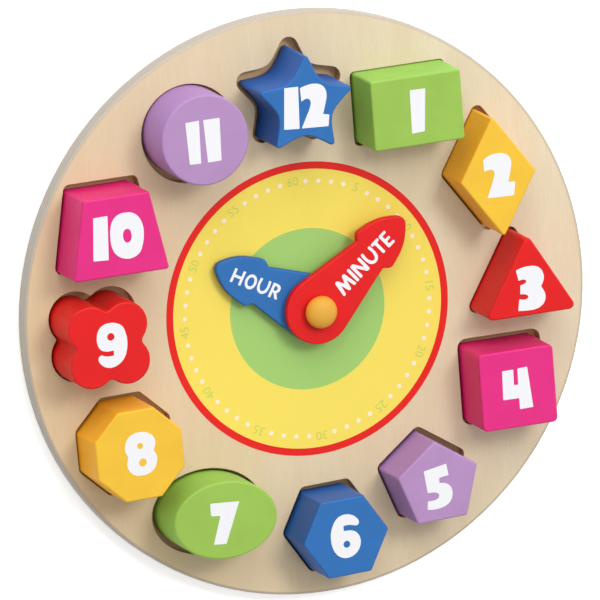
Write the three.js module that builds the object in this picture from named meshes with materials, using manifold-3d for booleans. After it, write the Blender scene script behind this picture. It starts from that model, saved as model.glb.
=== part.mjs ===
// Wooden shape-sorting clock for small children, lying on its back with the dial up.
// A round plywood board has twelve shaped recesses, one for each hour. A loose painted block
// stands in each recess. Two plywood hands turn on a domed wooden peg over the printed dial.
//
// Millimetres. +Z is up out of the dial, +Y points to twelve o'clock and +X to three o'clock.
// The origin is the centre of the board's underside.
import * as THREE from 'three';
import { mergeVertices } from 'three/addons/utils/BufferGeometryUtils.js';
import Module from 'manifold-3d';

const wasm = await Module();
wasm.setup();

// Board: a thick face board glued on a thin back board. A rim band is left outside the farthest recess.
const rimBand = 4.5;
const faceThickness = 7;
const backThickness = 3;
const rimRounding = 1.6;

// Ring of recesses, whose centre lies a little to the left of the board's and above it
const ringRadius = 114;
const ringLeft = 0.75;
const ringUp = 0.5;
const recessClearance = 2;

// Blocks, which stand on the floors of the recesses
const blockHeight = 33.7;
const blockEdgeRounding = 1;
const blockFloorGap = 0.3;

// Outlines of the blocks
const starTipRadius = 27.4;
const starNotchRadius = 13.6;
const starTipRounding = 1.6;
const starSideSteps = 9;
const rectangleWidth = 48.2;
const rectangleHeight = 36;
const rhombusWidth = 40.8;
const rhombusHeight = 62.7;
const triangleSide = 50;
const triangleTopRight = 0.7;
const triangleTopDown = 1.2;
const squareSide = 40.2;
const pentagonRadius = 22.6;
const hexagonRadius = 23;
const ellipseWidth = 54.8;
const ellipseHeight = 39.8;
const octagonRadius = 25.1;
const lobeSpacing = 18.9;
const lobeRadius = 11.7;
const lobeFillet = 3.1;
const trapezoidTop = 35.4;
const trapezoidBottom = 50.8;
const trapezoidHeight = 41;
const circleRadius = 23.2;
const sharpCornerRounding = 1.4;
const softCornerRounding = 2.6;

// Pivot of the hands: a peg glued into the face board, a little below the board's centre
const pivotRight = 3.25;
const pivotDown = 2.3;
const shankRadius = 4;
const glueGap = 0.3;
const shankRunningGap = 0.3;
const headPlay = 1;
const headRadius = 8.3;
const headRounding = 2.2;
const headDomeHeight = 4.6;

// Hands and the washers that keep the paint from rubbing
const washerThickness = 0.6;
const washerRadius = 9;
const stackGap = 0.2;
const handThickness = 4.6;
const handEdgeRounding = 0.8;
const hubRadius = 17.2;
const hourHandLength = 60.4;
const hourNeckReach = 32;
const hourBarbReach = 35.5;
const hourBarbHalfWidth = 12.9;
const hourShoulderHalfWidth = 9.8;
const minuteHandLength = 65.2;
const minuteNeckReach = 38.2;
const minuteBarbReach = 41.2;
const minuteBarbHalfWidth = 13.6;
const minuteShoulderHalfWidth = 10.2;
const neckHalfWidth = 10;
const shoulderReachShare = 0.56;
const neckRounding = 1;
const barbRounding = 3.2;
const shoulderRounding = 26;
const tipRounding = 4.2;

// Time shown by the hands, nine minutes past ten, as angles from three o'clock
const hourHandAngle = 149.9;
const minuteHandAngle = 39.8;

// Facets follow the round forms to within this sagitta
const facetSagitta = 0.06;
const cutOverrun = 2;

const paints = {
  birch: { color: 0xe3d3b4, roughness: 0.55, metalness: 0 },
  fibre: { color: 0xb9a588, roughness: 0.8, metalness: 0 },
  pegOrange: { color: 0xf0ab38, roughness: 0.35, metalness: 0 },
  blue: { color: 0x3673b8, roughness: 0.35, metalness: 0 },
  green: { color: 0x9cc75c, roughness: 0.35, metalness: 0 },
  yellow: { color: 0xfac541, roughness: 0.35, metalness: 0 },
  red: { color: 0xe8292c, roughness: 0.35, metalness: 0 },
  pink: { color: 0xe83a8a, roughness: 0.35, metalness: 0 },
  purple: { color: 0xb891c4, roughness: 0.35, metalness: 0 },
};

const radians = THREE.MathUtils.degToRad;

// Points along an arc about a centre, with as many steps as the sagitta asks for
function arc(centreX, centreY, radius, startAngle, endAngle) {
  const sweep = endAngle - startAngle;
  const finestStep = 2 * Math.acos(1 - Math.min(1, facetSagitta / radius));
  const steps = Math.max(2, Math.ceil(Math.abs(sweep) / finestStep));
  const points = [];
  for (let i = 0; i <= steps; i += 1) {
    const angle = startAngle + (sweep * i) / steps;
    points.push(new THREE.Vector2(centreX + radius * Math.cos(angle), centreY + radius * Math.sin(angle)));
  }
  return points;
}

function fullCircle(radius) {
  return arc(0, 0, radius, 0, 2 * Math.PI).slice(0, -1);
}

// The arc that rounds one corner of an outline and touches both of its sides
function roundedCorner(before, corner, after, radius) {
  const inward = before.clone().sub(corner).normalize();
  const outward = after.clone().sub(corner).normalize();
  const halfAngle = Math.acos(THREE.MathUtils.clamp(inward.dot(outward), -1, 1)) / 2;
  const start = corner.clone().addScaledVector(inward, radius / Math.tan(halfAngle));
  const middle = inward.clone().add(outward).normalize();
  const centre = corner.clone().addScaledVector(middle, radius / Math.sin(halfAngle));
  const startAngle = Math.atan2(start.y - centre.y, start.x - centre.x);
  const turnsLeft = inward.cross(outward) < 0;
  const sweep = (turnsLeft ? 1 : -1) * (Math.PI - 2 * halfAngle);
  return arc(centre.x, centre.y, radius, startAngle, startAngle + sweep);
}

function roundedPolygon(corners, radius) {
  const count = corners.length;
  return corners.flatMap((corner, i) =>
    roundedCorner(corners[(i + count - 1) % count], corner, corners[(i + 1) % count], radius));
}

function cornersAt(pairs) {
  return pairs.map(([x, y]) => new THREE.Vector2(x, y));
}

// Corners of a regular polygon, anticlockwise, the first one at the start angle
function regularCorners(sides, radius, startAngle) {
  const corners = [];
  for (let i = 0; i < sides; i += 1) {
    const angle = startAngle + (2 * Math.PI * i) / sides;
    corners.push(new THREE.Vector2(radius * Math.cos(angle), radius * Math.sin(angle)));
  }
  return corners;
}

const upward = Math.PI / 2;

// Five rounded tips joined by hollow sides
function starOutline() {
  const tips = regularCorners(5, starTipRadius, upward);
  const notches = regularCorners(5, starNotchRadius, upward + Math.PI / 5);
  const noses = tips.map((tip, i) => roundedCorner(notches.at(i - 1), tip, notches[i], starTipRounding));
  return noses.flatMap((nose, i) => {
    const nextNose = noses[(i + 1) % noses.length];
    const side = new THREE.CubicBezierCurve(nose.at(-1), notches[i], notches[i], nextNose[0]);
    return [...nose, ...side.getPoints(starSideSteps).slice(1, -1)];
  });
}

function rectangleOutline() {
  const x = rectangleWidth / 2;
  const y = rectangleHeight / 2;
  return roundedPolygon(cornersAt([[x, y], [-x, y], [-x, -y], [x, -y]]), sharpCornerRounding);
}

function rhombusOutline() {
  const x = rhombusWidth / 2;
  const y = rhombusHeight / 2;
  return roundedPolygon(cornersAt([[x, 0], [0, y], [-x, 0], [0, -y]]), sharpCornerRounding);
}

function triangleOutline() {
  const corners = regularCorners(3, triangleSide / Math.sqrt(3), upward);
  corners[0].add(new THREE.Vector2(triangleTopRight, -triangleTopDown));
  return roundedPolygon(corners, softCornerRounding);
}

function squareOutline() {
  const radius = squareSide / Math.SQRT2;
  return roundedPolygon(regularCorners(4, radius, upward / 2), softCornerRounding);
}

function pentagonOutline() {
  return roundedPolygon(regularCorners(5, pentagonRadius, upward), sharpCornerRounding);
}

function hexagonOutline() {
  return roundedPolygon(regularCorners(6, hexagonRadius, 0), sharpCornerRounding);
}

function ellipseOutline() {
  const curve = new THREE.EllipseCurve(0, 0, ellipseWidth / 2, ellipseHeight / 2, 0, 2 * Math.PI);
  return curve.getPoints(fullCircle(ellipseWidth / 2).length).slice(0, -1);
}

function octagonOutline() {
  return roundedPolygon(regularCorners(8, octagonRadius, Math.PI / 8), sharpCornerRounding);
}

// Four round lobes with a small fillet in each notch between them
function quatrefoilOutline() {
  const lobeAt = lobeSpacing / 2;
  const reach = lobeRadius + lobeFillet;
  const filletAt = lobeAt + Math.sqrt(reach * reach - lobeAt * lobeAt);
  const contactAngle = Math.asin(lobeAt / reach);
  return [0, 1, 2, 3].flatMap((quarter) => {
    const lobe = arc(lobeAt, lobeAt, lobeRadius, -contactAngle, upward + contactAngle);
    const fillet = arc(0, filletAt, lobeFillet, contactAngle - upward, -contactAngle - upward);
    const centre = new THREE.Vector2();
    return [...lobe, ...fillet.slice(1, -1)].map((point) => point.rotateAround(centre, quarter * upward));
  });
}

function trapezoidOutline() {
  const y = trapezoidHeight / 2;
  const top = trapezoidTop / 2;
  const bottom = trapezoidBottom / 2;
  return roundedPolygon(cornersAt([[top, y], [-top, y], [-bottom, -y], [bottom, -y]]), sharpCornerRounding);
}

function circleOutline() {
  return fullCircle(circleRadius);
}

// Moves every side of a closed anticlockwise outline outwards by the same distance
function grownOutline(outline, distance) {
  const count = outline.length;
  return outline.map((point, i) => {
    const before = outline[(i + count - 1) % count];
    const after = outline[(i + 1) % count];
    const sideIn = point.clone().sub(before).normalize();
    const sideOut = after.clone().sub(point).normalize();
    const normalIn = new THREE.Vector2(sideIn.y, -sideIn.x);
    const normalOut = new THREE.Vector2(sideOut.y, -sideOut.x);
    const mitre = normalIn.add(normalOut);
    const reach = (2 * distance) / mitre.lengthSq();
    return point.clone().addScaledVector(mitre, reach);
  });
}

const outlines = {
  star: starOutline,
  rectangle: rectangleOutline,
  rhombus: rhombusOutline,
  triangle: triangleOutline,
  square: squareOutline,
  pentagon: pentagonOutline,
  hexagon: hexagonOutline,
  ellipse: ellipseOutline,
  octagon: octagonOutline,
  quatrefoil: quatrefoilOutline,
  trapezoid: trapezoidOutline,
  circle: circleOutline,
};

// One row for each hour. The recess lies at a share of the ring radius, and its swing along the ring
// and the turn of its outline are degrees anticlockwise. The slack share is how much of the usual
// clearance this recess leaves round its block. The lean shares say how far the loose block has slid
// to the right and up in its recess, as shares of the room that it has.
const places = [
  { hour: 12, shape: 'star', paint: 'blue', turn: -4.5, slackShare: 1.7,
    ringShare: 0.9455, swing: -0.2, leanShares: [-0.16, -0.44] },
  { hour: 1, shape: 'rectangle', paint: 'green', turn: 0, slackShare: 0.5,
    ringShare: 0.9775, swing: -1.8, leanShares: [0.1, 0.7] },
  { hour: 2, shape: 'rhombus', paint: 'yellow', turn: 1.6, slackShare: 1,
    ringShare: 1.005, swing: -1.37, leanShares: [-0.775, 0.18] },
  { hour: 3, shape: 'triangle', paint: 'red', turn: 0, slackShare: 0.45,
    ringShare: 0.9814, swing: -1.775, leanShares: [-0.55, -0.1] },
  { hour: 4, shape: 'square', paint: 'pink', turn: 0, slackShare: 1,
    ringShare: 1.011, swing: 2.3, leanShares: [-0.45, -0.4] },
  { hour: 5, shape: 'pentagon', paint: 'purple', turn: 2, slackShare: 1,
    ringShare: 0.984, swing: 0, leanShares: [-0.45, -0.15] },
  { hour: 6, shape: 'hexagon', paint: 'blue', turn: 2.2, slackShare: 1,
    ringShare: 1.017, swing: 2.3, leanShares: [-0.45, -0.4] },
  { hour: 7, shape: 'ellipse', paint: 'green', turn: -1, slackShare: 1,
    ringShare: 1.014, swing: -1, leanShares: [0.15, 0.3] },
  { hour: 8, shape: 'octagon', paint: 'yellow', turn: 1.4, slackShare: 1,
    ringShare: 1.017, swing: -0.1, leanShares: [-0.7, -0.25] },
  { hour: 9, shape: 'quatrefoil', paint: 'red', turn: 0, slackShare: 1,
    ringShare: 0.985, swing: -0.2, leanShares: [-0.6, -0.3] },
  { hour: 10, shape: 'trapezoid', paint: 'pink', turn: 0, slackShare: 1,
    ringShare: 1.024, swing: 1.5, leanShares: [-0.65, -0.5] },
  { hour: 11, shape: 'circle', paint: 'purple', turn: 0, slackShare: 1,
    ringShare: 0.959, swing: -0.5, leanShares: [-0.35, 0.75] },
];

// The outline of a place's block, which its recess repeats with the clearance all round
function blockOutline(place) {
  return outlines[place.shape]();
}

function recessCentre(place) {
  const angle = radians(90 - 30 * place.hour + place.swing);
  const radius = ringRadius * place.ringShare;
  return new THREE.Vector2(radius * Math.cos(angle) - ringLeft, radius * Math.sin(angle) + ringUp);
}

function slack(place) {
  return recessClearance * place.slackShare;
}

function recessOutline(place) {
  const centre = recessCentre(place);
  const outline = grownOutline(blockOutline(place), slack(place));
  return outline.map((point) => point.rotateAround(new THREE.Vector2(), radians(place.turn)).add(centre));
}

const recessOutlines = places.map(recessOutline);
const recessReach = Math.max(...recessOutlines.flat().map((point) => point.length()));
const boardRadius = recessReach + rimBand;

// Joins the shared corners of a geometry and drops the empty triangles on a turned piece's axis
function closedGeometry(geometry) {
  geometry.deleteAttribute('normal');
  geometry.deleteAttribute('uv');
  const merged = mergeVertices(geometry);
  const corners = merged.index.array;
  const kept = [];
  for (let i = 0; i < corners.length; i += 3) {
    const [a, b, c] = corners.slice(i, i + 3);
    if (a !== b && b !== c && c !== a) {
      kept.push(a, b, c);
    }
  }
  merged.setIndex(kept);
  return merged;
}

function solidOf(geometry) {
  const closed = closedGeometry(geometry);
  return new wasm.Manifold(new wasm.Mesh({
    numProp: 3,
    vertProperties: new Float32Array(closed.attributes.position.array),
    triVerts: new Uint32Array(closed.index.array),
  }));
}

function geometryOf(solid) {
  const mesh = solid.getMesh();
  const geometry = new THREE.BufferGeometry();
  geometry.setAttribute('position', new THREE.BufferAttribute(mesh.vertProperties, 3));
  geometry.setIndex(new THREE.BufferAttribute(mesh.triVerts, 1));
  return geometry;
}

// A plate of the outline, standing on z = 0, with its upper and lower edges rounded
function roundedPlate(shape, thickness, rounding) {
  const geometry = new THREE.ExtrudeGeometry(shape, {
    depth: thickness - 2 * rounding,
    bevelThickness: rounding,
    bevelSize: rounding,
    bevelOffset: -rounding,
    bevelSegments: 2,
  });
  geometry.translate(0, 0, rounding);
  return closedGeometry(geometry);
}

// A straight cutter through a board, from below it to above it
function cutterThrough(outline, bottom, thickness) {
  const geometry = new THREE.ExtrudeGeometry(new THREE.Shape(outline), {
    depth: thickness + 2 * cutOverrun,
    bevelEnabled: false,
  });
  geometry.translate(0, 0, bottom - cutOverrun);
  return geometry;
}

// A turned piece about the Z axis from a profile of radius and height that runs up from axis to axis
function turned(profile, radius) {
  const geometry = new THREE.LatheGeometry(profile, fullCircle(radius).length);
  geometry.rotateX(upward);
  return geometry;
}

function nodeMesh(name, geometry, paint) {
  geometry.computeVertexNormals();
  const mesh = new THREE.Mesh(geometry, new THREE.MeshStandardMaterial(paint));
  mesh.name = name;
  return mesh;
}

// The glued board. The face board has the recesses and the peg's hole cut right through it.
function faceBoard() {
  const top = backThickness + faceThickness;
  const innerRadius = boardRadius - rimRounding;
  const profile = [
    new THREE.Vector2(0, backThickness),
    new THREE.Vector2(boardRadius, backThickness),
    ...arc(innerRadius, top - rimRounding, rimRounding, 0, upward),
    new THREE.Vector2(0, top),
  ];
  let board = solidOf(turned(profile, boardRadius));
  for (const outline of recessOutlines) {
    board = board.subtract(solidOf(cutterThrough(outline, backThickness, faceThickness)));
  }
  const pegHole = cutterThrough(fullCircle(shankRadius + glueGap), backThickness, faceThickness);
  pegHole.translate(pivotRight, -pivotDown, 0);
  board = board.subtract(solidOf(pegHole));
  return nodeMesh('face_board', geometryOf(board), paints.birch);
}

function backBoard() {
  const innerRadius = boardRadius - rimRounding;
  const profile = [
    new THREE.Vector2(0, 0),
    ...arc(innerRadius, rimRounding, rimRounding, -upward, 0),
    new THREE.Vector2(boardRadius, backThickness),
    new THREE.Vector2(0, backThickness),
  ];
  return nodeMesh('back_board', closedGeometry(turned(profile, boardRadius)), paints.birch);
}

const boardTop = backThickness + faceThickness;
const lowerWasherAt = boardTop + stackGap;
const hourHandAt = lowerWasherAt + washerThickness + stackGap;
const upperWasherAt = hourHandAt + handThickness + stackGap;
const minuteHandAt = upperWasherAt + washerThickness + stackGap;
const headAt = minuteHandAt + handThickness + headPlay;

// A hand that points along +X from the pivot: a round hub, two sides that close in to a neck, and a
// barbed head with rounded shoulders. The right side mirrors the left one.
function handOutline({ length, neckReach, barbReach, barbHalfWidth, shoulderHalfWidth }) {
  const shoulderReach = barbReach + (length - barbReach) * shoulderReachShare;
  const neck = new THREE.Vector2(neckReach, neckHalfWidth);
  const tangentAngle = neck.angle() + Math.acos(hubRadius / neck.length());
  const hubStart = new THREE.Vector2(hubRadius * Math.cos(tangentAngle), hubRadius * Math.sin(tangentAngle));
  const tip = new THREE.Vector2(length, 0);
  const shoulder = new THREE.Vector2(shoulderReach, shoulderHalfWidth);
  const barb = new THREE.Vector2(barbReach, barbHalfWidth);
  const rightShoulder = new THREE.Vector2(shoulderReach, -shoulderHalfWidth);
  const left = [
    ...roundedCorner(tip, shoulder, barb, shoulderRounding),
    ...roundedCorner(shoulder, barb, neck, barbRounding),
    ...roundedCorner(barb, neck, hubStart, neckRounding),
  ];
  const right = left.map((point) => new THREE.Vector2(point.x, -point.y)).reverse();
  const hub = arc(0, 0, hubRadius, tangentAngle, 2 * Math.PI - tangentAngle);
  return [...roundedCorner(rightShoulder, tip, shoulder, tipRounding), ...left, ...hub, ...right];
}

function hand(name, outline, height, angle, paint) {
  const shape = new THREE.Shape(outline);
  shape.holes.push(new THREE.Path(fullCircle(shankRadius + shankRunningGap)));
  const mesh = nodeMesh(name, roundedPlate(shape, handThickness, handEdgeRounding), paint);
  mesh.position.set(pivotRight, -pivotDown, height);
  mesh.rotation.z = radians(angle);
  return mesh;
}

function washer(name, height) {
  const shape = new THREE.Shape(fullCircle(washerRadius));
  shape.holes.push(new THREE.Path(fullCircle(shankRadius + shankRunningGap)));
  const geometry = new THREE.ExtrudeGeometry(shape, { depth: washerThickness, bevelEnabled: false });
  const mesh = nodeMesh(name, closedGeometry(geometry), paints.fibre);
  mesh.position.set(pivotRight, -pivotDown, height);
  return mesh;
}

// Shank and head, turned in one piece. The head is domed above and rounded below its widest circle.
function centrePeg() {
  const foot = backThickness + glueGap;
  const widestAt = headAt + headRounding;
  const dome = new THREE.EllipseCurve(0, widestAt, headRadius, headDomeHeight, 0, upward);
  const profile = [
    new THREE.Vector2(0, foot),
    new THREE.Vector2(shankRadius, foot),
    new THREE.Vector2(shankRadius, headAt),
    ...arc(headRadius - headRounding, widestAt, headRounding, -upward, 0).slice(0, -1),
    ...dome.getPoints(Math.ceil(fullCircle(headRadius).length / 4)),
  ];
  const mesh = nodeMesh('centre_peg', closedGeometry(turned(profile, headRadius)), paints.pegOrange);
  mesh.position.set(pivotRight, -pivotDown, 0);
  return mesh;
}

function block(place) {
  const name = `block_${String(place.hour).padStart(2, '0')}_${place.shape}`;
  const geometry = roundedPlate(new THREE.Shape(blockOutline(place)), blockHeight, blockEdgeRounding);
  const mesh = nodeMesh(name, geometry, paints[place.paint]);
  const [leanRight, leanUp] = place.leanShares.map((share) => share * slack(place));
  const centre = recessCentre(place);
  mesh.position.set(centre.x + leanRight, centre.y + leanUp, backThickness + blockFloorGap);
  mesh.rotation.z = radians(place.turn);
  return mesh;
}

const board = new THREE.Group();
board.add(backBoard(), faceBoard());

const handwork = new THREE.Group();
const hourOutline = handOutline({
  length: hourHandLength,
  neckReach: hourNeckReach,
  barbReach: hourBarbReach,
  barbHalfWidth: hourBarbHalfWidth,
  shoulderHalfWidth: hourShoulderHalfWidth,
});
const minuteOutline = handOutline({
  length: minuteHandLength,
  neckReach: minuteNeckReach,
  barbReach: minuteBarbReach,
  barbHalfWidth: minuteBarbHalfWidth,
  shoulderHalfWidth: minuteShoulderHalfWidth,
});
handwork.add(
  centrePeg(),
  washer('lower_washer', lowerWasherAt),
  hand('hour_hand', hourOutline, hourHandAt, hourHandAngle, paints.blue),
  washer('upper_washer', upperWasherAt),
  hand('minute_hand', minuteOutline, minuteHandAt, minuteHandAngle, paints.red),
);

const blocks = new THREE.Group();
blocks.add(...places.map(block));

const clock = new THREE.Group();
clock.add(board, handwork, blocks);

export default clock;
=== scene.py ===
# %% [markdown]
# # A wooden sorting clock
# The real toy is a round plywood board with twelve shaped recesses. A painted block with its
# hour number stands in each one, and two plywood hands turn on a peg over a printed dial.
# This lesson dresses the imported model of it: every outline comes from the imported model's own
# solids, so nothing has to be fitted by eye, and each piece then gets soft edges and a finish.

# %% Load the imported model
from math import asin, cos, degrees, pi, radians, sin

import bmesh
import bpy
from mathutils import Color, Matrix, Vector


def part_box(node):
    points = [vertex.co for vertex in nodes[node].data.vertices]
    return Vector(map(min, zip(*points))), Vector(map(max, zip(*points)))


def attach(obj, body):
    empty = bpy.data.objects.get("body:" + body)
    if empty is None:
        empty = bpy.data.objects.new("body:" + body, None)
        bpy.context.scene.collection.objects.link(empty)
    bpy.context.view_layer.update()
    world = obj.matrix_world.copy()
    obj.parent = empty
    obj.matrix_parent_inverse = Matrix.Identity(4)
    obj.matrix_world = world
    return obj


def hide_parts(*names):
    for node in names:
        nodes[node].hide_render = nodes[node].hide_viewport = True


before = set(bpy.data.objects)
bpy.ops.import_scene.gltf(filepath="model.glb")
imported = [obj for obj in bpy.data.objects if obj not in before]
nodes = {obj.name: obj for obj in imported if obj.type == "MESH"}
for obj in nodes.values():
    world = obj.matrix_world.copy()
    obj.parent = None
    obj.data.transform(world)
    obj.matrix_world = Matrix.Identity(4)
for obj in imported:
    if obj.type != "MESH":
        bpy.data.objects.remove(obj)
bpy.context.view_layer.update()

MM = 0.001

# %% [markdown]
# ## The camera
# The photograph was taken from high up on the left, from so far off that the view has almost no
# perspective. A very long lens some twelve metres away does the same. The camera's three axes
# are written in the clock's own frame. It aims so that the middle of the dial falls on the
# picture point where the photograph has it, a little right of the middle and below it.

# %% Place the camera
picture_right = Vector((0.93677, -0.07437, 0.34195)).normalized()
picture_down = Vector((-0.14448, -0.97217, 0.18438)).normalized()
looking = picture_right.cross(picture_down).normalized()
dial_centre = Vector((0.89, -2.94, 10)) * MM
camera_distance, sensor_width, picture_width = 12.5, 36, 600
pixels_per_metre = 1990
dial_across, dial_down = 307.29 - picture_width / 2, 308.75 - picture_width / 2

camera = bpy.data.objects.new("camera", bpy.data.cameras.new("camera"))
camera.data.sensor_width = sensor_width
camera.data.lens = sensor_width / picture_width * pixels_per_metre * camera_distance
camera.data.clip_end = 3 * camera_distance
turn = Matrix((picture_right, -picture_down, -looking)).transposed()
dial_shift = (picture_right * dial_across + picture_down * dial_down) / pixels_per_metre
aim = dial_centre - dial_shift
camera.matrix_world = Matrix.Translation(aim - looking * camera_distance) @ turn.to_4x4()
bpy.context.scene.collection.objects.link(camera)
bpy.context.scene.camera = camera
print("lens", round(camera.data.lens), "mm at", camera_distance, "m")

# %% [markdown]
# ## The studio
# A toy like this is photographed under large soft lamps with pale surfaces all round. The key
# lamp stands steeply above the space between twelve and three o'clock, and a low lamp beyond
# twelve lights the sides that face it. The world light stands for the room. It grows from one
# side of the room to the other, so the sides that face six to nine o'clock fall into shade.
# The floor is a plain pale sheet. Seen directly it gets enough extra light to look white, and
# the clock's soft shadow stays on it. It lies a hair below the clock, because two faces in one
# place would flicker through each other.

# %% Shader helpers
def add(tree, kind, inputs=None, **settings):
    """A shader node with its settings, its inputs set to values or linked to outputs."""
    made = tree.nodes.new("ShaderNode" + kind)
    for name, value in settings.items():
        setattr(made, name, value)
    for name, value in (inputs or {}).items():
        socket = made.inputs[name]
        if isinstance(value, bpy.types.NodeSocket):
            tree.links.new(value, socket)
        else:
            socket.default_value = value
    return made


def colour(red, green, blue):
    """A screen colour of 0 to 255 as the linear colour that shaders use."""
    return (*Color((red / 255, green / 255, blue / 255)).from_srgb_to_scene_linear(), 1)


def maths(tree, operation, first, second=0.0):
    """A number worked out from one or two others."""
    return add(tree, "Math", {0: first, 1: second}, operation=operation).outputs[0]


def seen_as_background(tree):
    """1 for rays that look at the background, directly or by a reflection, and 0 for light."""
    rays = add(tree, "LightPath").outputs
    seen = maths(tree, "MAXIMUM", rays["Is Camera Ray"], rays["Is Glossy Ray"])
    return maths(tree, "MAXIMUM", seen, rays["Is Transmission Ray"])


print("a screen grey of 128 is", round(colour(128, 128, 128)[0], 3), "in linear light")

# %% World light
world = bpy.data.worlds.new("pale room")
bpy.context.scene.world = world
world.use_nodes = True
tree = world.node_tree
room_level, room_slope = 0.43, 0.85
darkest, brightest = room_level * (1 - room_slope), room_level * (1 + room_slope)
brighter_side = Vector((0.25, 0.75, 0.6)).normalized()
direction = add(tree, "TexCoord").outputs["Generated"]
towards = add(tree, "VectorMath", {0: direction, 1: brighter_side}, operation="DOT_PRODUCT")
room = add(tree, "MapRange", {0: towards.outputs["Value"], 1: -1, 2: 1, 3: darkest, 4: brightest})
level = add(tree, "MapRange", {0: seen_as_background(tree), 3: room.outputs[0], 4: 1.0})
tree.links.new(level.outputs[0], tree.nodes["Background"].inputs["Strength"])
tree.nodes["Background"].inputs["Color"].default_value = (1, 1, 1, 1)
print("room light from", round(darkest, 2), "to", round(brightest, 2))

# %% Floor
paper = bpy.data.materials.new("floor paper")
paper.use_nodes = True
tree = paper.node_tree
shader = tree.nodes["Principled BSDF"]
shader.inputs["Base Color"].default_value = colour(238, 237, 234)
shader.inputs["Roughness"].default_value = 0.9
shader.inputs["Emission Color"].default_value = (1, 1, 1, 1)
extra_light = 0.5
lift = maths(tree, "MULTIPLY", seen_as_background(tree), extra_light)
tree.links.new(lift, shader.inputs["Emission Strength"])

half_width, just_below = 6, Matrix.Translation((0, 0, -0.2 * MM))
plan = bmesh.new()
bmesh.ops.create_grid(plan, x_segments=1, y_segments=1, size=half_width, matrix=just_below)
floor = bpy.data.objects.new("floor", bpy.data.meshes.new("floor"))
plan.to_mesh(floor.data)
plan.free()
floor.data.materials.append(paper)
bpy.context.scene.collection.objects.link(floor)
print("floor", 2 * half_width, "m wide")

# %% Lamps
def soft_lamp(name, direction, distance, size, share):
    """A square soft box that adds this share of plain white to a level surface at the clock."""
    place = Vector(direction).normalized()
    lamp = bpy.data.objects.new(name, bpy.data.lights.new(name, "AREA"))
    lamp.data.size = size
    lamp.data.energy = share * pi * pi * distance ** 2 / place.z
    lamp.location = place * distance
    lamp.rotation_euler = place.to_track_quat("Z", "Y").to_euler()
    bpy.context.scene.collection.objects.link(lamp)
    print(name, round(lamp.data.energy, 1), "W")


soft_lamp("key lamp", (0.3, 0.42, 0.86), distance=5, size=1.5, share=0.3)
soft_lamp("back lamp", (-0.12, 0.8, 0.6), distance=5, size=3.4, share=0.2)

# %% [markdown]
# ## Finishes
# Three effects are built once, as node groups with named sockets, and each material that needs
# one places it with its own values. *Wood grain* stretches noise along the board's grain and
# gives broad bands, fine fibres and short dark pores. The birch and all the inks use it.
# *Ply edge* cuts the height into layers, as a sawn plywood edge shows them.
# *Paint film* takes a colour and a second one for the sides, which is painted shade: the sides
# get the deeper colour that shaded sides show. It adds what a dipped and sanded toy has: faint
# clouding, a lighter worn line along the edges, and the fibres under the paint just showing as relief.

# %% Group helpers
def new_group(name, inputs, outputs):
    """An empty node group with number, colour or vector sockets, and its two end nodes."""
    group = bpy.data.node_groups.new(name, "ShaderNodeTree")
    kinds = {"number": "NodeSocketFloat", "colour": "NodeSocketColor", "vector": "NodeSocketVector"}
    for direction, sockets in (("INPUT", inputs), ("OUTPUT", outputs)):
        for socket, kind in sockets.items():
            group.interface.new_socket(socket, in_out=direction, socket_type=kinds[kind])
    return group, group.nodes.new("NodeGroupInput").outputs, group.nodes.new("NodeGroupOutput").inputs


def noise(tree, vector, stretch, scale, detail, distortion=0.0):
    """Noise from 0 to 1 over a vector in metres that is first scaled axis by axis."""
    scaled = add(tree, "VectorMath", {0: vector, 1: stretch}, operation="MULTIPLY")
    return add(tree, "TexNoise", {"Vector": scaled.outputs[0], "Scale": scale, "Detail": detail,
                                  "Distortion": distortion}).outputs[0]


def ramp(tree, value, low, high, to_low=0.0, to_high=1.0):
    """A value carried from one range to another, held at the ends."""
    return add(tree, "MapRange", {0: value, 1: low, 2: high, 3: to_low, 4: to_high}).outputs[0]


def mixed(tree, factor, first, second):
    """Two colours mixed by a factor. Of a Mix node's sockets, these are the ones for colours."""
    return add(tree, "Mix", {0: factor, 6: first, 7: second}, data_type="RGBA").outputs[2]


def tinted(tree, base, mask, share, tint):
    """A colour that turns by this share towards a tint where the mask is 1."""
    return mixed(tree, maths(tree, "MULTIPLY", mask, share), base, tint)


evenly, along_grain, in_fibres = (1, 1, 1), (1, 0.12, 1), (1, 0.05, 1)
print("the grain is stretched", round(1 / along_grain[1], 1), "times along the wood")

# %% Wood grain
grain_group, given, gives = new_group(
    "wood grain", {"Vector": "vector"}, {"Bands": "number", "Fibres": "number", "Pores": "number"})
bands = noise(grain_group, given["Vector"], along_grain, scale=55, detail=3, distortion=0.6)
fibres = noise(grain_group, given["Vector"], in_fibres, scale=1500, detail=3)
specks = noise(grain_group, given["Vector"], along_grain, scale=2300, detail=1)
for socket, value, low, high in (("Bands", bands, 0.3, 0.7), ("Fibres", fibres, 0.3, 0.7),
                                 ("Pores", specks, 0.66, 0.76)):
    grain_group.links.new(ramp(grain_group, value, low, high), gives[socket])
print("wood grain:", len(grain_group.nodes), "nodes")

# %% Ply edge
ply_group, given, gives = new_group(
    "ply edge", {"Vector": "vector", "Layer": "number"}, {"Cross layer": "number", "Glue line": "number"})
height = add(ply_group, "SeparateXYZ", {0: given["Vector"]}).outputs["Z"]
layers = maths(ply_group, "DIVIDE", height, given["Layer"])
within = maths(ply_group, "FRACT", layers)
odd = maths(ply_group, "PINGPONG", maths(ply_group, "FLOOR", layers), 1)
from_middle = maths(ply_group, "ABSOLUTE", maths(ply_group, "SUBTRACT", within, 0.5))
ply_group.links.new(odd, gives["Cross layer"])
ply_group.links.new(ramp(ply_group, from_middle, 0.4, 0.49), gives["Glue line"])
print("ply edge:", len(ply_group.nodes), "nodes")

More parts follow.
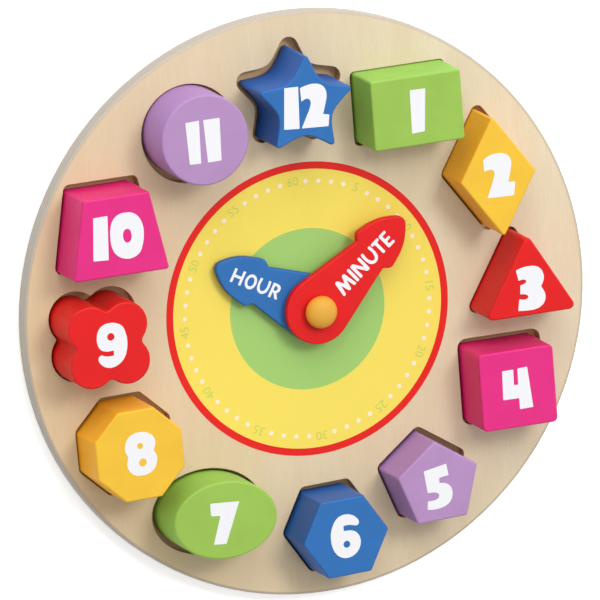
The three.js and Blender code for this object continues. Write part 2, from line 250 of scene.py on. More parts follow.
# %% Paint film
film_group, given, gives = new_group(
    "paint film",
    {"Colour": "colour", "Side shade colour": "colour", "Vector": "vector", "Side": "number", "Edge": "number",
     "Wear": "number"},
    {"Colour": "colour", "Roughness": "number", "Relief": "number"})
clouds = noise(film_group, given["Vector"], evenly, scale=60, detail=3)
peel = noise(film_group, given["Vector"], evenly, scale=900, detail=2)
fibres = noise(film_group, given["Vector"], (1, 0.06, 1), scale=1100, detail=2)
patches = noise(film_group, given["Vector"], evenly, scale=320, detail=3)
# Painted shade: faces that look sideways take the second, shaded colour.
body = mixed(film_group, given["Side"], given["Colour"], given["Side shade colour"])
brightness = ramp(film_group, clouds, 0.3, 0.7, to_low=0.955, to_high=1.03)
clouded = add(film_group, "HueSaturation", {"Color": body, "Fac": 1.0, "Value": brightness})
worn = maths(film_group, "MULTIPLY", given["Edge"], ramp(film_group, patches, 0.35, 0.65))
worn = maths(film_group, "MULTIPLY", worn, given["Wear"])
paler = mixed(film_group, 0.3, given["Colour"], colour(255, 247, 232))
film_group.links.new(mixed(film_group, worn, clouded.outputs[0], paler), gives["Colour"])
gloss = ramp(film_group, peel, 0.2, 0.8, to_low=0.36, to_high=0.48)
film_group.links.new(gloss, gives["Roughness"])
shallow = maths(film_group, "MULTIPLY", fibres, 0.6)
film_group.links.new(maths(film_group, "ADD", shallow, peel), gives["Relief"])
print("paint film:", len(film_group.nodes), "nodes")

# %% [markdown]
# The materials themselves hold the shader. Each reads Object coordinates: every piece's object
# stays at the origin, so the grain runs on through all of the board and never slides. The birch
# is painted darker and more golden towards nine o'clock, as painted shade. Its rim and the
# rounding of the rim are a darker grey, partly painted shade. The floors of the recesses are
# painted warmer, as painted bounce light between the walls, and the sawn walls' warm colour is
# partly painted bounce light too. The paints look duller to light that bounces off them, so that
# they tint the pale wood beside them no more than in the photograph.

# %% Material helpers
def new_material(name, roughness=0.5):
    """A material with its tree, its shader and its Object coordinates."""
    made = bpy.data.materials.new(name)
    made.use_nodes = True
    tree = made.node_tree
    shader = tree.nodes["Principled BSDF"]
    shader.inputs["Roughness"].default_value = roughness
    return made, tree, shader, add(tree, "TexCoord").outputs["Object"]


def use_group(tree, group, inputs):
    """Places a node group with its own values in a material and returns its outputs."""
    return add(tree, "Group", inputs, node_tree=group).outputs


def upwards(tree):
    """How far a face looks up: 1 for a level face, 0 for a wall and -1 for one that looks down."""
    return add(tree, "SeparateXYZ", {0: add(tree, "NewGeometry").outputs["Normal"]}).outputs["Z"]


def relief(tree, shader, height, depth):
    """Feeds a height of 0 to 1, this deep in metres, to the shader's normal."""
    bump = add(tree, "Bump", {"Height": height, "Distance": depth, "Strength": 1.0})
    tree.links.new(bump.outputs[0], shader.inputs["Normal"])


print("groups ready to place:", ", ".join(group.name for group in bpy.data.node_groups))

# %% Birch plywood: the face
birch, tree, shader, place = new_material("birch plywood")
grain = use_group(tree, grain_group, {"Vector": place})
face = mixed(tree, grain["Bands"], colour(230, 216, 187), colour(223, 205, 173))
# Painted shade: the face is painted darker and more golden towards nine o'clock.
nine_oclock = (-0.97, -0.25, 0)
towards = add(tree, "VectorMath", {0: place, 1: nine_oclock}, operation="DOT_PRODUCT").outputs["Value"]
painted_shade_to_nine = ramp(tree, towards, -100 * MM, 140 * MM, to_high=0.6)
face = mixed(tree, painted_shade_to_nine, face, colour(222, 191, 146))
face = tinted(tree, face, grain["Fibres"], 0.22, colour(204, 178, 140))
face = tinted(tree, face, grain["Pores"], 0.25, colour(180, 148, 108))
# Painted bounce light: the floors of the recesses are painted a warmer colour, as light bouncing between
# their walls tints them.
height = add(tree, "SeparateXYZ", {0: place}).outputs["Z"]
below_top = ramp(tree, height, 8 * MM, 6 * MM)
above_underside = ramp(tree, height, 1 * MM, 2 * MM)
recessed = maths(tree, "MULTIPLY", below_top, above_underside)
face = mixed(tree, recessed, face, colour(224, 184, 136))
print("birch face:", len(tree.nodes), "nodes")

# %% Birch plywood: the sawn edges
veneer = 1.42 * MM
ply = use_group(tree, ply_group, {"Vector": place, "Layer": veneer})
level_place = add(tree, "VectorMath", {0: place, 1: (1, 1, 0)}, operation="MULTIPLY").outputs[0]
from_axis = add(tree, "VectorMath", {0: level_place}, operation="LENGTH").outputs["Value"]
outside = ramp(tree, from_axis, 147.7 * MM, 148.7 * MM)
# The sawn walls' warm colour is partly painted bounce light inside the recesses.
sawn = mixed(tree, ply["Cross layer"], colour(206, 162, 116), colour(188, 142, 98))
# Partly painted shade: the rim and its rounding take this darker grey, which keeps the rounding from
# catching light.
rim = mixed(tree, ply["Cross layer"], colour(190, 184, 174), colour(182, 174, 162))
sawn = mixed(tree, outside, sawn, rim)
sawn = tinted(tree, sawn, ply["Glue line"], 0.4, colour(170, 142, 112))
sawn = tinted(tree, sawn, grain["Fibres"], 0.25, colour(188, 162, 128))
flat = ramp(tree, maths(tree, "ABSOLUTE", upwards(tree)), 0.6, 0.9)
flat = maths(tree, "MULTIPLY", flat, maths(tree, "SUBTRACT", 1, outside))
tree.links.new(mixed(tree, flat, sawn, face), shader.inputs["Base Color"])
roughness = ramp(tree, grain["Fibres"], 0, 1, to_low=0.42, to_high=0.56)
tree.links.new(roughness, shader.inputs["Roughness"])
relief(tree, shader, grain["Fibres"], depth=0.02 * MM)
print(birch.name, len(tree.nodes), "nodes")

# %% Pressed fibre for the washers
fibre, tree, shader, place = new_material("pressed fibre", roughness=0.8)
specks = noise(tree, place, evenly, scale=2600, detail=3)
speckled = mixed(tree, specks, colour(196, 172, 138), colour(150, 122, 88))
tree.links.new(speckled, shader.inputs["Base Color"])
relief(tree, shader, specks, depth=0.05 * MM)
print(fibre.name, len(tree.nodes), "nodes")

# %% Paints
def paint(name, shade, side_shade):
    """Satin paint on wood, with a painted shade colour on the sides and rubbed along the edges."""
    made, tree, shader, place = new_material(name)
    shader.inputs["Specular IOR Level"].default_value = 0.18
    edge = add(tree, "Attribute", attribute_name="edge").outputs["Fac"]
    # Painted shade: this side mask gives faces that look sideways their shaded colour.
    side = ramp(tree, upwards(tree), 0.9, 0.4)
    film = use_group(tree, film_group, {"Colour": colour(*shade), "Side shade colour": colour(*side_shade),
                                        "Vector": place, "Side": side, "Edge": edge, "Wear": 0.05})
    bounced = add(tree, "LightPath").outputs["Is Diffuse Ray"]
    calmer = add(tree, "HueSaturation",
                 {"Color": film["Colour"], "Fac": bounced, "Saturation": 0.65, "Value": 0.9})
    tree.links.new(calmer.outputs[0], shader.inputs["Base Color"])
    tree.links.new(film["Roughness"], shader.inputs["Roughness"])
    relief(tree, shader, film["Relief"], depth=0.02 * MM)
    return made


# The second colour of each paint is the painted shade of its sides.
paints = {
    "blue": paint("blue paint", (50, 112, 180), (37, 95, 176)),
    "green": paint("green paint", (155, 194, 85), (151, 205, 83)),
    "yellow": paint("yellow paint", (244, 195, 61), (255, 181, 34)),
    "red": paint("red paint", (227, 31, 32), (223, 15, 15)),
    "pink": paint("pink paint", (229, 48, 133), (224, 29, 115)),
    "purple": paint("purple paint", (181, 143, 191), (177, 134, 199)),
    "orange": paint("peg paint", (230, 171, 68), (248, 157, 42)),
}
print(len(paints), "paints")

# %% Printing inks
def ink(name, shade, roughness=0.42):
    """A thin printed layer: even colour, with a breath of the wood's fibres in it."""
    made, tree, shader, place = new_material(name, roughness)
    shader.inputs["Specular IOR Level"].default_value = 0.3
    grain = use_group(tree, grain_group, {"Vector": place})
    darker = (*(0.8 * x for x in colour(*shade)[:3]), 1)
    printed_wood = tinted(tree, colour(*shade), grain["Fibres"], 0.12, darker)
    tree.links.new(printed_wood, shader.inputs["Base Color"])
    relief(tree, shader, grain["Fibres"], depth=0.008 * MM)
    return made


inks = {
    "red": ink("red ink", (230, 26, 20)),
    "yellow": ink("yellow ink", (247, 224, 96)),
    "green": ink("green ink", (163, 206, 112)),
    "dots": ink("pale dot ink", (255, 238, 218)),
    "faint": ink("faint green ink", (202, 213, 94)),
    "white": ink("white ink", (243, 243, 247), roughness=0.35),
}
print(len(inks), "inks")

# %% [markdown]
# ## From a solid to a soft-edged piece
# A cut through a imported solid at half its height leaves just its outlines. The cut's few
# needless corners, where two triangles of a wall meet, are dissolved, and the outlines are
# filled again. Extruding gives the thickness. Both rims are then rounded by insetting the flat
# face in small steps that follow a quarter circle, which also works in hollow corners, where
# a bevel would tear. How far a point lies round the rim gives its *edge* attribute, which tells
# the paint where to look worn.

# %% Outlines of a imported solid
weld, nearly_straight = 0.002 * MM, radians(0.6)


def outlines_of(node, height):
    """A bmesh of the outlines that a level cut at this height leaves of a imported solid."""
    cut = bmesh.new()
    cut.from_mesh(nodes[node].data)
    bmesh.ops.remove_doubles(cut, verts=cut.verts, dist=weld)
    everything = cut.verts[:] + cut.edges[:] + cut.faces[:]
    bmesh.ops.bisect_plane(cut, geom=everything, dist=1e-8, plane_co=(0, 0, height), plane_no=(0, 0, 1),
                           clear_inner=True, clear_outer=True)
    bmesh.ops.remove_doubles(cut, verts=cut.verts, dist=weld)
    straight = [v for v in cut.verts if len(v.link_edges) == 2 and v.calc_edge_angle(0) < nearly_straight]
    bmesh.ops.dissolve_verts(cut, verts=straight)
    return cut


def mark_corners(plan, arc_step=1.5 * MM, least_bend=radians(12)):
    """Gives the points of tight corners an edge value of 1, and all others 0."""
    edge = plan.verts.layers.float.new("edge")
    for v in plan.verts:
        longest = max(e.calc_length() for e in v.link_edges)
        v[edge] = 1.0 if longest < arc_step and v.calc_edge_angle(0) > least_bend else 0.0


def filled(plan):
    """Fills flat outlines with faces that look up, leaving inner outlines as holes."""
    bmesh.ops.triangle_fill(plan, use_beauty=True, edges=plan.edges[:], normal=(0, 0, 1))
    return plan.faces[:]


print("points closer than", weld / MM, "mm are welded")

# %% Rounding a rim
def quarter_turn(steps):
    """Angles from 0 to a quarter turn in even steps."""
    return [pi / 2 * step / steps for step in range(steps + 1)]


def points_of(faces):
    """The points of some faces, each one once."""
    return list({v for f in faces for v in f.verts})


def round_rim(plan, faces, radius, steps=4):
    """Rounds the rim of a flat region by insetting it in steps and moving it outwards."""
    outward = faces[0].normal.copy()
    reached = raised = 0.0
    for angle in quarter_turn(steps)[1:]:
        inset, rise = radius * (1 - cos(angle)), radius * sin(angle)
        bmesh.ops.inset_region(plan, faces=faces, thickness=inset - reached, use_boundary=True,
                               use_even_offset=True)
        bmesh.ops.translate(plan, verts=points_of(faces), vec=outward * (rise - raised))
        reached, raised = inset, rise


print("a rounding bends at", [round(degrees(angle), 1) for angle in quarter_turn(4)], "degrees")

# %% From outline to slab
def raised_copy(plan, faces, rise):
    """Extrudes flat faces upwards and returns the raised ones."""
    copied = bmesh.ops.extrude_face_region(plan, geom=faces, use_keep_orig=True)["geom"]
    moved = [x for x in copied if isinstance(x, bmesh.types.BMVert)]
    bmesh.ops.translate(plan, verts=moved, vec=(0, 0, rise))
    return [x for x in copied if isinstance(x, bmesh.types.BMFace)]


def lay_at(plan, faces, height):
    """Moves level faces to a height."""
    corners = points_of(faces)
    bmesh.ops.translate(plan, verts=corners, vec=(0, 0, height - corners[0].co.z))


def slab(plan, faces, low, high, radius):
    """Makes flat faces, which look up, into a slab between two heights with rounded rims."""
    lay_at(plan, faces, low + radius)
    top = raised_copy(plan, faces, high - low - 2 * radius)
    bmesh.ops.reverse_faces(plan, faces=faces)
    plan.normal_update()
    round_rim(plan, top, radius)
    round_rim(plan, faces, radius)
    edge = plan.verts.layers.float.get("edge")
    for v in plan.verts:
        share = max(v.co.z - high + radius, low + radius - v.co.z) / radius
        if share > 0.01:
            v[edge] = sin(2 * asin(min(1.0, share)))


# %% From bmesh to finished object
sharp_angle = radians(32)


def finish_piece(name, plan, material):
    """Turns a bmesh into a smooth-shaded object whose flat faces stay flat."""
    bmesh.ops.recalc_face_normals(plan, faces=plan.faces)
    mesh = bpy.data.meshes.new(name)
    plan.to_mesh(mesh)
    plan.free()
    mesh.shade_smooth()
    mesh.set_sharp_from_angle(angle=sharp_angle)
    mesh.materials.append(material)
    piece = bpy.data.objects.new(name, mesh)
    bpy.context.scene.collection.objects.link(piece)
    weights = piece.modifiers.new("flat faces stay flat", "WEIGHTED_NORMAL")
    weights.keep_sharp = True
    return piece


print("edges over", round(degrees(sharp_angle)), "degrees stay sharp")

# %% [markdown]
# ## The face board
# On the real clock the recesses are sawn right through the thick face board, and a thin back
# board is glued behind it as their floor. Here the cut at mid-height gives fourteen outlines:
# the rim, twelve recesses and the peg's hole. They are filled as one face with holes. The
# sawn recesses have only a hair of rounding, and the outer rim is rounded much more, so the
# outer outline's steps are spread over the larger radius afterwards.

# %% Face board
def face_board():
    """The thick board with its twelve recesses and the hole for the peg."""
    low, high = (corner.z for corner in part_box("face_board"))
    rim, hair, slack = 1.6 * MM, 0.4 * MM, 0.1 * MM
    plan = outlines_of("face_board", (low + high) / 2)
    radius = max(v.co.xy.length for v in plan.verts)
    for v in plan.verts:
        if v.co.xy.length > radius - slack:
            v.co.xy *= (radius - rim + hair) / v.co.xy.length
    bottom = filled(plan)
    print("face board outline:", len(plan.verts), "points,", len(bottom), "faces")
    lay_at(plan, bottom, low)
    top = raised_copy(plan, bottom, high - hair - low)
    bmesh.ops.reverse_faces(plan, faces=bottom)
    plan.normal_update()
    round_rim(plan, top, hair)
    for v in plan.verts:
        distance = v.co.xy.length
        if distance > radius - rim - 2 * slack:
            if v.co.z > low + hair:
                angle = asin(max(0.0, min(1.0, (v.co.z - high + hair) / hair)))
                v.co.xy *= (radius - rim + rim * cos(angle)) / distance
                v.co.z = high - rim + rim * sin(angle)
            else:
                v.co.xy *= radius / distance
    piece = finish_piece("face_plate", plan, birch)
    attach(piece, "board")
    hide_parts("face_board")
    return piece


plate = face_board()
print(plate.name, len(plate.data.polygons), "faces")

# %% [markdown]
# The back board and the two washers have the right shape already. They stay as they are and
# only get a material in place of the plain one.

# %% Back board and washers
for node, material in (("back_board", birch), ("lower_washer", fibre), ("upper_washer", fibre)):
    nodes[node].data.materials[0] = material
print("dressed the back board and the washers")

# %% [markdown]
# ## The printed dial
# The dial is three flat inks printed on the board: a red ring, a yellow face and a green middle,
# with a pale dot for every minute and a faint green numeral for every fifth one. A real print
# has almost no thickness. Very thin solid layers keep its borders crisp from any distance.

# %% Thin layers
layer = 0.05 * MM
board_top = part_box("face_board")[1].z


def printed(name, plan, height, material, body):
    """Gives flat outlines or faces the thickness of a print and lays them at a height."""
    faces = plan.faces[:] or filled(plan)
    bmesh.ops.translate(plan, verts=plan.verts[:], vec=(0, 0, height))
    raised_copy(plan, faces, layer)
    piece = finish_piece(name, plan, material)
    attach(piece, body)
    return piece


print("prints are", layer / MM, "mm thick, and the board's top is", round(board_top / MM, 2), "mm up")

# %% Ring, face and middle
def add_circle(plan, centre, radius, points, filled_in=False):
    """Adds a level circle to a bmesh, as an outline or as a face."""
    bmesh.ops.create_circle(plan, cap_ends=filled_in, segments=points, radius=radius,
                            matrix=Matrix.Translation(centre))


low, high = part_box("centre_peg")
pivot = Vector(((low.x + high.x) / 2, (low.y + high.y) / 2, 0))
dial_middle = Vector((dial_centre.x, dial_centre.y, 0))
ring_outside, ring_inside, green_edge, peg_hole = 75.3 * MM, 71.6 * MM, 41.3 * MM, 4.6 * MM
many, some, few = 128, 48, 16
for name, outer, inner, inner_centre, points, shade in (
        ("dial_ring", ring_outside, ring_inside, dial_middle, many, "red"),
        ("dial_face", ring_inside, green_edge, dial_middle, many, "yellow"),
        ("dial_middle", green_edge, peg_hole, pivot, some, "green")):
    plan = bmesh.new()
    add_circle(plan, dial_middle, outer, many)
    add_circle(plan, inner_centre, inner, points)
    piece = printed(name, plan, board_top, inks[shade], "board")
    print(piece.name, len(piece.data.polygons), "faces")

# %% Minute dots
dial_turn, minute_step = radians(2.3), 2 * pi / 60
dot_circle, dot_radius = 65.4 * MM, 1.15 * MM


def on_dial(minute, distance):
    """The point of a minute at a distance from the dial's middle, and its turn from twelve."""
    turned = dial_turn - minute * minute_step
    return dial_middle + Matrix.Rotation(turned, 3, "Z") @ Vector((0, distance, 0)), turned


plan = bmesh.new()
for minute in range(60):
    if minute % 5:
        add_circle(plan, on_dial(minute, dot_circle)[0], dot_radius, few, filled_in=True)
dots = printed("minute_dots", plan, board_top + layer, inks["dots"], "board")
print(dots.name, len(dots.data.polygons), "faces")

# %% Minute numerals
numeral_circle, numeral_size = 65.6 * MM, 6.4 * MM


def mesh_of(curve):
    """The flat mesh of a curve or a text."""
    holder = bpy.data.objects.new(curve.name, curve)
    bpy.context.scene.collection.objects.link(holder)
    bpy.context.view_layer.update()
    mesh = bpy.data.meshes.new_from_object(holder)
    bpy.data.objects.remove(holder)
    return mesh


def flat_words(text, size):
    """Plain lettering as a flat mesh, centred on the origin."""
    curve = bpy.data.curves.new("text", "FONT")
    curve.body, curve.size, curve.resolution_u = text, size, 3
    curve.align_x = curve.align_y = "CENTER"
    return mesh_of(curve)


plan = bmesh.new()
for minute in range(5, 61, 5):
    centre, turned = on_dial(minute, numeral_circle)
    written = flat_words(str(minute), numeral_size)
    written.transform(Matrix.Translation(centre) @ Matrix.Rotation(turned, 4, "Z"))
    plan.from_mesh(written)
minute_numerals = printed("minute_numerals", plan, board_top + layer, inks["faint"], "board")
print(minute_numerals.name, len(minute_numerals.data.polygons), "faces")

# %% [markdown]
# ## The blocks
# Each block is a solid piece of wood with softened edges, dipped in one of six colours. All
# twelve are made by the same few calls, because only their outlines differ. The top is set
# lower by one printed layer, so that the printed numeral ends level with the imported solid.

# %% Blocks
block_rounding = 1.1 * MM
block_paint = dict(zip([12, *range(1, 12)], ["blue", "green", "yellow", "red", "pink", "purple"] * 2))
block_nodes = {int(name.split("_")[1]): name for name in nodes if name.startswith("block_")}
for hour, node in sorted(block_nodes.items()):
    low, high = (corner.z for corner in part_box(node))
    plan = outlines_of(node, (low + high) / 2)
    mark_corners(plan)
    bmesh.ops.contextual_create(plan, geom=plan.edges[:])
    if plan.faces[:][0].normal.z < 0:
        bmesh.ops.reverse_faces(plan, faces=plan.faces[:])
    slab(plan, plan.faces[:], low, high - layer, block_rounding)
    block = finish_piece(node.replace("block", "painted"), plan, paints[block_paint[hour]])
    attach(block, node)
    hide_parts(node)
    print(block.name, len(block.data.polygons), "faces")

# %% [markdown]
# ## Numerals
# The numerals on the blocks are heavy, plain and a little uneven, as if cut from a stencil.
# Each is drawn as one closed outline, point by point, in millimetres from the block's middle.
# A point with a third value of 1 lies on a curve, and the others are corners. Blender's Bezier
# curves do the drawing, and each corner is then softened a little.

# %% Pen
sharp_bend, duplicate, crumb = radians(24), 0.01 * MM, 0.03 * MM


def drawn(outlines, centre, turned=0.0, corner=0.35 * MM):
    """A bmesh of closed outlines in millimetres about a centre, with softened corners."""
    curve = bpy.data.curves.new("pen", "CURVE")
    curve.dimensions, curve.fill_mode, curve.resolution_u = "2D", "NONE", 6
    for outline in outlines:
        spline = curve.splines.new("BEZIER")
        spline.use_cyclic_u = True
        spline.bezier_points.add(len(outline) - 1)
        for point, (x, y, *curved) in zip(spline.bezier_points, outline):
            point.co = (x * MM, y * MM, 0)
            point.handle_left_type = point.handle_right_type = "AUTO" if curved else "VECTOR"
    mesh = mesh_of(curve)
    mesh.transform(Matrix.Translation(centre) @ Matrix.Rotation(turned, 4, "Z"))
    plan = bmesh.new()
    plan.from_mesh(mesh)
    bmesh.ops.remove_doubles(plan, verts=plan.verts, dist=duplicate)
    bends = [v for v in plan.verts if v.calc_edge_angle(0) > sharp_bend]
    bmesh.ops.bevel(plan, geom=bends, affect="VERTICES", offset=corner, segments=3, profile=0.5,
                    material=-1, clamp_overlap=True)
    bmesh.ops.remove_doubles(plan, verts=plan.verts, dist=crumb)
    return plan


def round_hole(x, y, half_width, half_height):
    """Four curve points of a round or oval opening."""
    return [(x + half_width, y, 1), (x, y + half_height, 1), (x - half_width, y, 1),
            (x, y - half_height, 1)]


print("a round opening has", len(round_hole(0, 0, 1, 1)), "points")

# %% Numeral outlines
numerals = {
    12: [[(-11.4, 9), (-4, 8.75), (-4.9, -12.75), (-13.1, -12.1)],
         [(-3.1, 7.9), (0.5, 8.85, 1), (4.5, 9.1, 1), (8.5, 7.75, 1), (10.4, 5, 1), (10.65, 2, 1),
          (9.7, -2, 1), (8.1, -7), (11.4, -7.75), (10.5, -13.6), (-3.75, -12.75), (-1, -7.5, 1),
          (1.25, -3, 1), (2, 0, 1), (1.5, 1.3, 1), (0, 2, 1), (-2.9, 0.9)]],
    1: [[(-3.5, 10.9), (4.75, 10.75), (2.9, -11), (-4, -11.4)]],
    2: [[(-7.5, 9.75), (-5, 11.3, 1), (0, 12.2, 1), (4, 11.5, 1), (6.5, 9.5, 1), (7.3, 6.5, 1),
         (6.8, 3.5, 1), (5, -3.25), (8.75, -3.5), (7.5, -10.5), (-6.75, -10), (-4.5, -5, 1),
         (-2.75, -0.5, 1), (-2, 2.5, 1), (-2.8, 4, 1), (-4.8, 4.3, 1), (-7.4, 3.75)]],
    3: [[(-6.9, 4.4), (-3.5, 5.3, 1), (0, 5.6, 1), (4, 5, 1), (6.4, 3.3, 1), (7.6, 0.5, 1), (7.6, -2, 1),
         (5.9, -5.7), (7.3, -8.2, 1), (7.9, -10.5, 1), (7.5, -13, 1), (5.8, -15.3, 1), (2.5, -16.8, 1),
         (-1.5, -17, 1), (-7.2, -16.6), (-6.2, -10.7), (-2.2, -11, 1), (-1.3, -10, 1), (-2.3, -8.8, 1),
         (-5.5, -8.2), (-5.1, -3.6), (-2.8, -3, 1), (-1.8, -2, 1), (-2.6, -1, 1), (-5.9, -1.1)]],
    4: [[(-8, 10), (-2, 10.1), (-2.25, 2), (0.1, 2), (0.25, 10.2), (5.5, 10.5), (7.25, -10.6), (0.1, -10.75),
         (0.1, -5), (-8.5, -4.9)]],
    5: [[(-7.5, 6.3), (4.75, 8.6), (5.6, 2.6), (0.5, 1.9), (0.4, -0.8), (3.5, -1.3, 1), (5.8, -2.8, 1),
         (6.9, -5.2, 1), (6.9, -8, 1), (5.8, -10.6, 1), (3.5, -12.6, 1), (0, -13.7, 1), (-3, -14, 1),
         (-6.9, -13.7), (-6.4, -9.3), (-2.6, -9.2, 1), (-0.6, -8.2, 1), (-0.2, -6.9, 1), (-1, -5.8, 1),
         (-6.2, -5.1)]],
    6: [[(1, 11.6, 1), (-2, 11.3, 1), (-4.6, 9.8, 1), (-6.6, 7, 1), (-7.9, 3.5, 1), (-8.25, 0, 1),
         (-7.75, -4, 1), (-6.25, -7.5, 1), (-3.5, -10, 1), (0, -10.75, 1), (3.5, -9.75, 1), (6, -7.5, 1),
         (7.4, -4.25, 1), (7.35, -1.5, 1), (6, 1.25, 1), (3.75, 2.75, 1), (-1.15, 3.3), (-1.15, 5.9),
         (2, 6, 1), (4.3, 5.5, 1), (5.8, 5.2, 1), (7.1, 6, 1), (7.2, 7.4, 1), (6, 9.25, 1), (3.5, 11, 1)],
        round_hole(0, -3.75, 1.8, 1.8)],
    7: [[(-7.75, 9.75), (7.75, 8.75), (-0.75, -12), (-7.4, -11.5), (-5, -4, 1), (-2.75, 2.75),
         (-7.75, 3.25)]],
    8: [[(0.5, 11.7, 1), (4.8, 10.8, 1), (7.7, 8.4, 1), (8.5, 5, 1), (7.3, 1.5), (8.7, -1.3, 1),
         (8.5, -5, 1), (6.6, -8.4, 1), (3, -10.25, 1), (0, -10.55, 1), (-3.5, -9.9, 1), (-6, -7.7, 1),
         (-7.2, -4, 1), (-6.3, -0.25), (-7.5, 2.2, 1), (-7.6, 5.2, 1), (-6.4, 8.5, 1), (-3.8, 10.8, 1)],
        round_hole(0.35, 4.65, 1.55, 1.55), round_hole(1.15, -4, 2.05, 2.05)],
    9: [[(0.5, 11.5, 1), (4.5, 10.9, 1), (7.5, 8.9, 1), (9, 5.2, 1), (9.5, 1.5, 1), (9, -3.2, 1),
         (7.5, -7, 1), (4.6, -9.9, 1), (0.5, -11.3, 1), (-3.3, -10.5, 1), (-5.6, -8.4, 1),
         (-6.4, -6.5, 1), (-5.8, -4.9, 1), (-4.6, -4.4, 1), (-3.3, -4.9, 1), (-1, -5.4, 1), (1.9, -5.4),
         (2.1, -2.8), (-3, -2.5, 1), (-5.3, -0.9, 1), (-6.4, 2.2, 1), (-6.4, 5, 1), (-5.3, 8.5, 1),
         (-2.8, 10.75, 1)],
        round_hole(1, 4.4, 1.95, 1.95)],
    10: [[(-13, 11), (-5.4, 11.15), (-6.5, -11.4), (-14.6, -10.9)],
         [(4, 11.5, 1), (8.5, 10.5, 1), (11.5, 7.4, 1), (12.9, 3.2, 1), (13, -1, 1), (12, -6, 1),
          (10, -10, 1), (6, -12, 1), (2, -11.8, 1), (-2, -9.5, 1), (-4.2, -5.5, 1), (-4.75, -0.5, 1),
          (-4.25, 5, 1), (-2.75, 8.5, 1), (0, 10.8, 1)],
         round_hole(4.25, -0.4, 2.3, 3.55)],
    11: [[(-10, 10.25), (-2.75, 10.5), (-3.25, -11.5), (-9.3, -11.25)],
         [(-0.5, 10.4), (8.25, 10.4), (7.6, -11.4), (0.4, -11.5)]],
}
print(len(numerals), "numerals drawn with", sum(len(x) for outlines in numerals.values() for x in outlines),
      "points")

# %% Print the numerals on the blocks
for hour, outlines in numerals.items():
    low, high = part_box(block_nodes[hour])
    middle = (low + high) / 2
    plan = drawn(outlines, (middle.x, middle.y, 0))
    numeral = printed(f"numeral_{hour:02d}", plan, high.z - layer, inks["white"], block_nodes[hour])
    print(numeral.name, len(numeral.data.polygons), "faces")

# %% [markdown]
# ## The hands
# The hands are sawn from thin plywood and dipped like the blocks. They are made by the same cut
# and the same rounding, but with a hole in the middle of the hub, so their outlines are filled
# as a face with a hole. The words on them are printed in plain round-ended letters.

# %% Hands
hand_rounding = 0.9 * MM


def painted_hand(node, shade):
    """A hand with rounded rims and a hole for the peg. Returns the height of its top."""
    low, high = (corner.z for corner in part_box(node))
    plan = outlines_of(node, (low + high) / 2)
    mark_corners(plan)
    slab(plan, filled(plan), low, high, hand_rounding)
    piece = finish_piece("painted_" + node, plan, paints[shade])
    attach(piece, node)
    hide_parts(node)
    print(piece.name, len(piece.data.polygons), "faces, top at", round(high / MM, 2), "mm")
    return high


hour_top = painted_hand("hour_hand", "blue")
minute_top = painted_hand("minute_hand", "red")

# %% Outlines of the words
hour_word = [
    [(-48.8, -4.2), (-47.4, -4.2), (-47.4, -1.2), (-43.9, -1.2), (-43.9, -4.2), (-42.5, -4.2),
     (-42.5, 3.4), (-43.9, 3.4), (-43.9, 0.2), (-47.4, 0.2), (-47.4, 3.2), (-48.8, 3.2)],
    round_hole(-38.1, -0.25, 3.15, 3.9), round_hole(-38.1, -0.25, 1.75, 2.4),
    [(-34, 3.7), (-34, -0.9, 1), (-33.1, -2.85, 1), (-30.9, -3.8, 1), (-28.7, -2.75, 1),
     (-27.8, -0.8, 1), (-27.8, 3.9), (-29.2, 3.9), (-29.2, -0.7, 1), (-30.9, -2.4, 1),
     (-32.6, -0.8, 1), (-32.6, 3.7)],
    [(-26.5, 4), (-26.5, -3.7), (-25.1, -3.7), (-25.1, -0.8), (-24.4, -0.8), (-22.7, -3.6),
     (-21.2, -3.3), (-22.9, -0.5), (-21.9, 0.65, 1), (-21.7, 2, 1), (-22.2, 3.3, 1), (-23.6, 4, 1)],
    [(-25.1, 0.5), (-23.9, 0.5, 1), (-23.2, 1.6, 1), (-23.9, 2.65, 1), (-25.1, 2.65)],
]
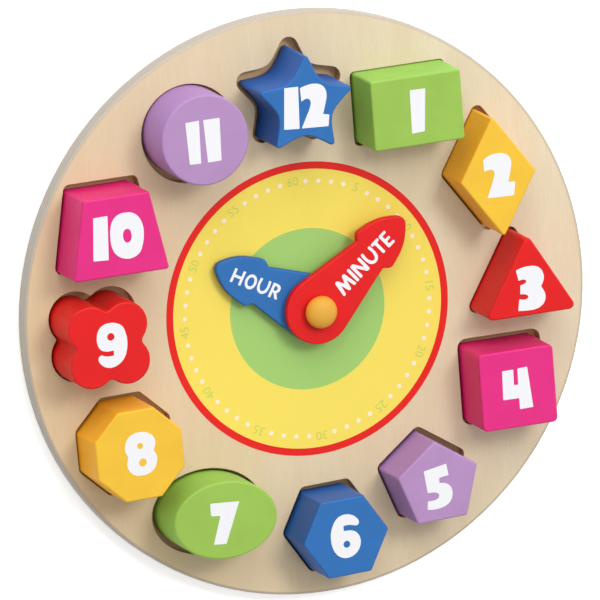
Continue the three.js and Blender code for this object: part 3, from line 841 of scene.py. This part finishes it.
minute_word = [
    [(14, -4.7), (15.6, -4.7), (16.8, 0.6), (18.1, -4.7), (19.5, -4.7), (20.8, 0.6), (21.8, -4.7),
     (23.4, -4.7), (22.1, 3.9), (20.5, 3.9), (18.8, -0.3), (17, 3.9), (15.4, 3.9)],
    [(24.1, -4.7), (25.7, -4.7), (25.7, 3.9), (24.1, 3.9)],
    [(26.6, -4.7), (28.2, -4.7), (28.2, 1.3), (31.6, -4.7), (33.5, -4.7), (33.5, 3.9), (31.9, 3.9),
     (31.9, -2), (28.6, 3.9), (26.6, 3.9)],
    [(34.5, 3.9), (34.5, -1.3, 1), (35.5, -3.7, 1), (37.9, -4.8, 1), (40.3, -3.7, 1), (41.2, -1.3, 1),
     (41.2, 3.9), (39.6, 3.9), (39.6, -1.2, 1), (37.9, -3.2, 1), (36.1, -1.2, 1), (36.1, 3.9)],
    [(41.8, 3.7), (41.8, 2.15), (43.5, 2.15), (43.5, -4.7), (45.1, -4.7), (45.1, 2.15), (46.9, 2.15),
     (46.9, 3.7)],
    [(47.5, 3.6), (47.5, -4.8), (52.1, -4.8), (52.1, -3.3), (49.1, -3.3), (49.1, -1.5), (51.9, -1.5),
     (51.9, -0.1), (49.1, -0.1), (49.1, 2.1), (52.1, 2.1), (52.1, 3.6)],
]
print("words of", len(hour_word), "and", len(minute_word), "outlines")

# %% Print the words on the hands
hour_angle, minute_angle = radians(149.9), radians(39.8)
for name, outlines, turned, height, body in (
        ("word_hour", hour_word, hour_angle + pi, hour_top, "hour_hand"),
        ("word_minute", minute_word, minute_angle, minute_top, "minute_hand")):
    word = printed(name, drawn(outlines, pivot, turned, corner=0.7 * MM), height, inks["white"], body)
    print(word.name, len(word.data.polygons), "faces")

# %% [markdown]
# ## The centre peg
# The peg is turned on a lathe: a shank that is glued into the board and a domed head that keeps
# the hands on. A turned piece is a profile spun about its axis. The head's curve is a quarter
# of a squashed circle, and below its widest line it curls under with a small round.

# %% Peg
def centre_peg():
    """The turned peg: shank, curled underside and dome, spun from their profile."""
    low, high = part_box("centre_peg")
    shank, head, under, dome = 4 * MM, (high.x - low.x) / 2, 2.2 * MM, 4.6 * MM
    widest = high.z - dome
    profile = [(0, low.z), (shank, low.z), (shank, widest - under)]
    profile += [(head - under + under * sin(a), widest - under * cos(a)) for a in quarter_turn(8)[:-1]]
    profile += [(head * cos(a), widest + dome * sin(a)) for a in quarter_turn(16)]
    plan = bmesh.new()
    line = [plan.verts.new((pivot.x + x, pivot.y, z)) for x, z in profile]
    for first, second in zip(line, line[1:]):
        plan.edges.new((first, second))
    bmesh.ops.spin(plan, geom=plan.verts[:] + plan.edges[:], cent=pivot, axis=(0, 0, 1), angle=2 * pi,
                   steps=64, use_merge=True)
    bmesh.ops.remove_doubles(plan, verts=plan.verts, dist=weld)
    piece = finish_piece("turned_peg", plan, paints["orange"])
    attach(piece, "board")
    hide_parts("centre_peg")
    return piece


peg = centre_peg()
print(peg.name, len(peg.data.polygons), "faces")

# %% [markdown]
# ## Last settings
# The picture is shown as plain screen colours.

# %% View and sizes
bpy.context.scene.view_settings.view_transform = "Standard"
bpy.context.view_layer.update()
